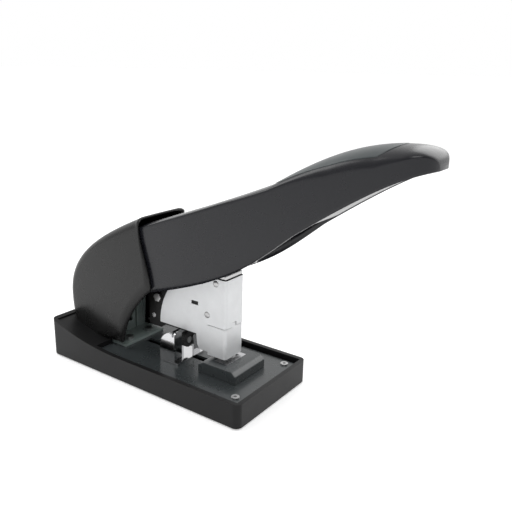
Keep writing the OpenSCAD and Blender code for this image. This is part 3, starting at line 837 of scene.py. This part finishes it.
@dataclass
class Handle:
    """Lever handle: a lofted shell with a domed top, a grip panel and a closed front underside."""

    rear_x: float = -66.0
    rear_half: float = 23.7
    nose_half: float = 20.5
    nose_r: float = 17.0
    nose_x: float = 204.0
    nose_reach: float = 16.6
    taper_x: float = 30.0
    wall: float = 2.6
    inner_edge: float = 0.3
    least_side: float = 1.0
    stations: int = 110
    nose_steps: int = 18
    dome_steps: int = 16
    side_steps: int = 10
    dome_power: float = 0.9
    dome_end: float = 0.999
    side_start: float = 0.04
    dome: tuple[Point, ...] = ((-66, 2.5), (60, 2.2), (100, 4), (140, 12), (170, 12), (185, 8),
                               (199, 2.5), (204, 1))
    panel: tuple[float, float] = (98.0, 181.0)
    panel_rows: int = 60
    panel_columns: int = 25
    panel_fade: float = 10.0
    panel_spread: float = 62.0
    panel_least: float = 0.08
    panel_rise: float = 0.25
    panel_wall: float = 0.5
    top: tuple = (((-66, 84), (-54, 101), (-30, 115), (-11, 123.6)),
                  ((-11, 123.6), (25, 137.2), (60, 149.6), (100, 167.2)),
                  ((100, 167.2), (130, 187), (155, 196.6), (182, 198.3)),
                  ((182, 198.3), (195, 199.0), (203.6, 196.6), (203.7, 187.5)))
    low: tuple = (((-66, 80), (-62, 74), (-59, 67), (-56, 60.5)),
                  ((-56, 60.5), (-40, 60.5), (-20, 64), (0, 72.5)),
                  ((0, 72.5), (70, 95), (84, 107), (120, 137)),
                  ((120, 137), (158, 164), (186, 182), (203.4, 185.6)))

    def half_at(self, x: float) -> float:
        """Half the handle's width: straight, then tapered, then round at the nose.

        Args:
            x: the place along the handle, in millimetres.

        Returns:
            The half width in millimetres.
        """
        straight = self.nose_x - self.nose_r
        if x <= straight:
            share = np.clip((x - self.taper_x) / (straight - self.taper_x), 0, 1)
            return self.rear_half + (self.nose_half - self.rear_half) * float(share)
        ahead = min(x - straight, self.nose_r)
        return self.nose_half - self.nose_r + math.sqrt(max(self.nose_r**2 - ahead**2, 0.0))

    def dome_at(self, x: float) -> float:
        """How far the middle of the top stands over the side crease at X."""
        return float(np.interp(x, *zip(*self.dome)))

    def build(self, shop: Workshop) -> None:
        """Makes shell, grip panel and underside.

        Args:
            shop: where pieces are finished.
        """
        top, low = polyline(self.top), polyline(self.low)
        straight = self.nose_x - self.nose_r
        turns = np.linspace(0, math.pi / 2, self.nose_steps)
        xs = np.concatenate([np.linspace(self.rear_x, straight, self.stations),
                             straight + self.nose_reach * np.sin(turns)[1:]])
        rings = []
        for x in xs:
            half, high, deep = self.half_at(x), height_at(top, x), height_at(low, x)
            crease = max(high - self.dome_at(x), deep + self.least_side)
            over = [(half * math.sin(a), crease + (high - crease) * math.cos(a) ** self.dome_power)
                    for a in np.linspace(0, math.pi / 2 * self.dome_end, self.dome_steps)]
            side = [(half, crease + (deep - crease) * k)
                    for k in np.linspace(self.side_start, 1, self.side_steps)]
            right = [(x, y, z) for y, z in over + side]
            ring = [(x, -y, z) for x, y, z in reversed(right[1:])] + right
            rings.append([(a * MM, b * MM, c * MM) for a, b, c in ring])
        width = len(rings[0])
        faces = grid_faces(len(rings), width)
        faces.append(tuple((len(rings) - 1) * width + j for j in range(width)))
        shell = shop.from_data("handle_shell_skin", [p for r in rings for p in r], faces)
        add_wall(shell, self.wall)
        shop.piece(shell, "handle_shell")
        self.build_panel(shop, top)
        shop.softened("handle_underside", self.inner_edge)
        shop.softened("handle_frame", self.inner_edge)

    def build_panel(self, shop: Workshop, top: np.ndarray) -> None:
        """Makes the thin satin panel that is let into the dome.

        Args:
            shop: where pieces are finished.
            top: the handle's top line, in millimetres.
        """
        rows = []
        for x in np.linspace(*self.panel, self.panel_rows):
            half, high = self.half_at(x), height_at(top, x)
            rise = self.dome_at(x)
            reach = min(1.0, (x - self.panel[0]) / self.panel_fade,
                        (self.panel[1] - x) / self.panel_fade) ** 0.5
            angles = (np.linspace(-1, 1, self.panel_columns) * math.radians(self.panel_spread)
                      * max(reach, self.panel_least))
            rows.append([(x * MM, half * math.sin(a) * MM,
                          (high - rise * (1 - math.cos(a) ** self.dome_power) + self.panel_rise)
                          * MM) for a in angles])
        faces = grid_faces(len(rows), len(rows[0]))
        panel = shop.from_data("grip_panel_skin", [p for r in rows for p in r], faces)
        add_wall(panel, self.panel_wall)
        shop.piece(panel, "grip_panel")


HEAD_EDGES = (("arm_plate_left", 0.25), ("arm_plate_right", 0.25), ("magazine_body", 0.25),
              ("head_cover", 0.3), ("front_jaw", 0.3), ("driver_cap", 0.5), ("arm_bolt", 0.3),
              ("release_lever", 0.5))  # node, width of its broken edges in millimetres


@dataclass
class Head:
    """Staple arm, cover, jaw and the driver's cap."""

    rivet_rise: float = 0.8

    def build(self, shop: Workshop) -> None:
        """Breaks the edges of the head's parts and adds the rivets.

        Args:
            shop: where pieces are finished.
        """
        for node, edge in HEAD_EDGES:
            shop.softened(node, edge)
        self.build_rivets(shop)

    def build_rivets(self, shop: Workshop) -> None:
        """Makes the domed rivet heads on both sides of the cover.

        Args:
            shop: where pieces are finished.
        """
        rivets = solids_of("head_rivets")
        low, high = rivets[0]
        radius = (high.x - low.x) / 2
        spots = []
        for low, high in rivets:
            outer = high.y if high.y + low.y > 0 else low.y
            inward = -math.copysign(self.rivet_rise * MM, outer)
            spots.append(((low.x + high.x) / 2, outer + inward, (low.z + high.z) / 2))
        start = bpy.data.meshes.new("rivet_spots")
        start.from_pydata(spots, [], [])
        heads = grow("head_rivet_domes", build_heads_tree(),
                     {"Radius": radius, "Height": self.rivet_rise * MM,
                      "Turn": (math.pi / 2, 0.0, 0.0),
                      "Material": shop.materials[shop.slot_of["head_rivets"]]}, start)
        heads.data.shade_smooth()
        shop.piece(heads, "head_rivets")


# Node, wire in millimetres, turns, axis, joint that shortens it, and by how many millimetres.
COILS = (("return_spring", 0.5, 9.0, "z", "driver_slide", 24.7),
         ("pusher_spring", 0.35, 14.0, "x", "pusher_slide", 12.0),
         ("lift_spring", 0.7, 8.0, "y", None, 0.0))
AXIS_ORDER = {"z": (0, 1, 2), "x": (2, 0, 1), "y": (1, 2, 0)}  # turns a coil along Z to that axis


@dataclass
class Springs:
    """Wound springs and the strip of staples, grown by rule."""

    staple_pitch: float = 0.75
    staple_wire: float = 0.7

    def build(self, shop: Workshop) -> None:
        """Grows the return, pusher and lift springs, then the staples.

        Args:
            shop: where pieces are finished.
        """
        tree = build_spring_tree()
        for node, wire, turns, axis, joint, travel in COILS:
            low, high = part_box(node)
            k = "xyz".index(axis)
            across = [i for i in range(3) if i != k]
            radius = (high[across[0]] - low[across[0]]) / 2 - wire * MM
            spring = grow(node + "_wound", tree,
                          {"Radius": radius, "Wire": wire * MM, "Turns": turns,
                           "Length": high[k] - low[k] - 2 * wire * MM,
                           "Material": shop.materials[shop.slot_of[node]]})
            middle = [(low[i] + high[i]) / 2 for i in range(3)]
            middle[k] = low[k] + wire * MM
            order = AXIS_ORDER[axis]
            moved(spring, lambda co, o=order, m=tuple(middle): co[:, o] + np.array(m))
            shop.piece(spring, node)
            if joint is not None:
                end = [(low[i] + high[i]) / 2 for i in range(3)]
                end[k] = high[k]
                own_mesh(spring)
        low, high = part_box("staple_strip")
        count = int((high.x - low.x) / (self.staple_pitch * MM))
        strip = grow("staple_strip_row", build_staple_tree(),
                     {"Count": count, "Pitch": (self.staple_pitch * MM, 0.0, 0.0),
                      "Wire": self.staple_wire * MM, "Width": high.y - low.y,
                      "Leg": high.z - low.z,
                      "Material": shop.materials[shop.slot_of["staple_strip"]]})
        start = np.array((low.x + self.staple_pitch * MM / 2, 0.0, high.z))
        moved(strip, lambda co: co + start)
        shop.piece(strip, "staple_strip")


@dataclass
class PaperStop:
    """Sliding stop with its clamping knob."""

    carriage_edge: float = 0.25
    knob_edge: float = 0.2
    ribs: int = 30
    rib_deep: float = 0.8
    rib_wide: float = 0.55
    rib_share: float = 0.8
    wing_y: float = -19.9
    wing_front: float = 18.5
    wing_r: float = 14.0
    wing_foot: float = 28.6

    def round_wing(self, co: Vector) -> None:
        """Brings the top of one ear's side wing onto a quarter circle.

        Args:
            co: a point of the carriage, which is changed in place.
        """
        back = self.wing_front - co.x / MM
        if co.y / MM < self.wing_y and 0 < back < self.wing_r:
            co.z = min(co.z, (self.wing_foot + math.sqrt(self.wing_r**2 - back**2)) * MM)

    def build(self, shop: Workshop) -> None:
        """Breaks the edges of carriage and knob, and adds the knob's ribs.

        Args:
            shop: where pieces are finished.
        """
        shop.softened("stop_carriage", self.carriage_edge, shape=self.round_wing)
        shop.softened("stop_knob", self.knob_edge)
        low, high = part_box("stop_knob")
        ribs = grow("stop_knob_ribs", build_rib_tree(),
                    {"Count": self.ribs, "Radius": (high.z - low.z) / 2 - self.rib_deep * MM / 2,
                     "Rib": (self.rib_deep * MM, self.rib_wide * MM,
                             (high.x - low.x) * self.rib_share),
                     "Material": shop.materials[shop.slot_of["stop_knob"]]})
        middle = np.array([(low[i] + high[i]) / 2 for i in range(3)])
        moved(ribs, lambda co: co[:, (2, 0, 1)] + middle)
        shop.dress(ribs, shop.slot_of["stop_knob"])
        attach(ribs, shop.body_of["stop_knob"])
        LOG.info("piece %s is added to the knob", ribs.name)


LAMPS = (("key", (0.5, -0.7, 0.9), 0.7, 5.0),
         ("rim", (-0.8, -0.2, 0.8), 0.6, 3.0),
         ("fill", (0.2, 0.9, 0.7), 0.8, 3.0))  # name, place and size in metres, power in watts
FLOOR_LOOK = (("Base Color", (0.86, 0.86, 0.86, 1)), ("Roughness", 0.8),
              ("Emission Color", (1, 1, 1, 1)), ("Emission Strength", 0.34))


@dataclass
class Studio:
    """Floor, lights and camera."""

    camera_at: tuple[float, float, float] = (0.3110, -0.3392, 0.2384)
    azimuth: float = 35.32
    elevation: float = 17.05
    roll: float = 1.15
    lens: float = 43.08
    sensor: float = 36.0
    shift: tuple[float, float] = (0.0181, -0.0034)
    clip: tuple[float, float] = (0.01, 50)
    floor_size: float = 60.0
    lamp_aim: tuple[float, float, float] = (0.03, 0, 0.08)
    dark_sky: float = 0.30
    sky_lift: float = 0.35
    sky_fall: tuple[float, float] = (-0.7, 0.55)

    def build(self) -> None:
        """Sets up floor, sky, lamps and camera."""
        bpy.ops.mesh.primitive_plane_add(size=self.floor_size)
        floor = bpy.context.object
        floor.name = "floor"
        paper = bpy.data.materials.new("studio_floor")
        paper.use_nodes = True
        shader = paper.node_tree.nodes["Principled BSDF"]
        for key, value in FLOOR_LOOK:
            shader.inputs[key].default_value = value
        floor.data.materials.append(paper)
        world = bpy.data.worlds.new("studio")
        world.use_nodes = True
        self.build_sky(world.node_tree)
        bpy.context.scene.world = world
        bpy.context.scene.view_settings.view_transform = "Standard"
        for name, place, size, power in LAMPS:
            data = bpy.data.lights.new(name, "AREA")
            data.size, data.energy = size, power
            lamp = bpy.data.objects.new(name, data)
            lamp.location = place
            ahead = Vector(self.lamp_aim) - lamp.location
            lamp.rotation_euler = ahead.to_track_quat("-Z", "Y").to_euler()
            bpy.context.scene.collection.objects.link(lamp)
        self.build_camera()

    def build_sky(self, tree: bpy.types.NodeTree) -> None:
        """Makes a white backdrop that falls off towards the darker front of the room.

        Args:
            tree: the world's tree.
        """
        way = tree.nodes.new("ShaderNodeTexCoord").outputs["Generated"]
        dot = tree.nodes.new("ShaderNodeVectorMath")
        dot.operation = "DOT_PRODUCT"
        a = math.radians(self.azimuth)
        dot.inputs[1].default_value = (-math.sin(a), math.cos(a), self.sky_lift)
        tree.links.new(way, dot.inputs[0])
        fall = tree.nodes.new("ShaderNodeMapRange")
        for key, value in (("From Min", self.sky_fall[0]), ("From Max", self.sky_fall[1]),
                           ("To Min", self.dark_sky), ("To Max", 1.0)):
            fall.inputs[key].default_value = value
        tree.links.new(dot.outputs["Value"], fall.inputs["Value"])
        seen = tree.nodes.new("ShaderNodeLightPath").outputs["Is Camera Ray"]
        strength = math_node(tree, "MAXIMUM", fall.outputs[0], seen)
        tree.links.new(strength, tree.nodes["Background"].inputs["Strength"])
        tree.nodes["Background"].inputs["Color"].default_value = (1, 1, 1, 1)

    def build_camera(self) -> None:
        """Places the camera."""
        data = bpy.data.cameras.new("camera")
        data.lens, data.sensor_width = self.lens, self.sensor
        data.shift_x, data.shift_y = self.shift
        data.clip_start, data.clip_end = self.clip
        camera = bpy.data.objects.new("camera", data)
        a, e = math.radians(self.azimuth), math.radians(self.elevation)
        back = Vector((math.sin(a) * math.cos(e), -math.cos(a) * math.cos(e), math.sin(e)))
        turn = (-back).to_track_quat("-Z", "Y").to_matrix().to_4x4()
        sight = Vector((0, 0, 1))
        camera.matrix_world = turn @ Matrix.Rotation(math.radians(self.roll), 4, sight)
        camera.location = self.camera_at
        bpy.context.scene.collection.objects.link(camera)
        bpy.context.scene.camera = camera


def main() -> None:
    """Builds every sub-assembly in order, then dresses the CAD nodes that still show."""
    logging.basicConfig(level=logging.INFO, format="%(name)s: %(message)s")
    shop = Workshop()
    shop.set_up()
    Studio().build()
    for part in (Base(), Hood(), Handle(), Head(), Springs(), PaperStop()):
        part.build(shop)
    for node, obj in frame["nodes"].items():
        shop.dress(obj, shop.slot_of[node])


if __name__ == "__main__":
    main()
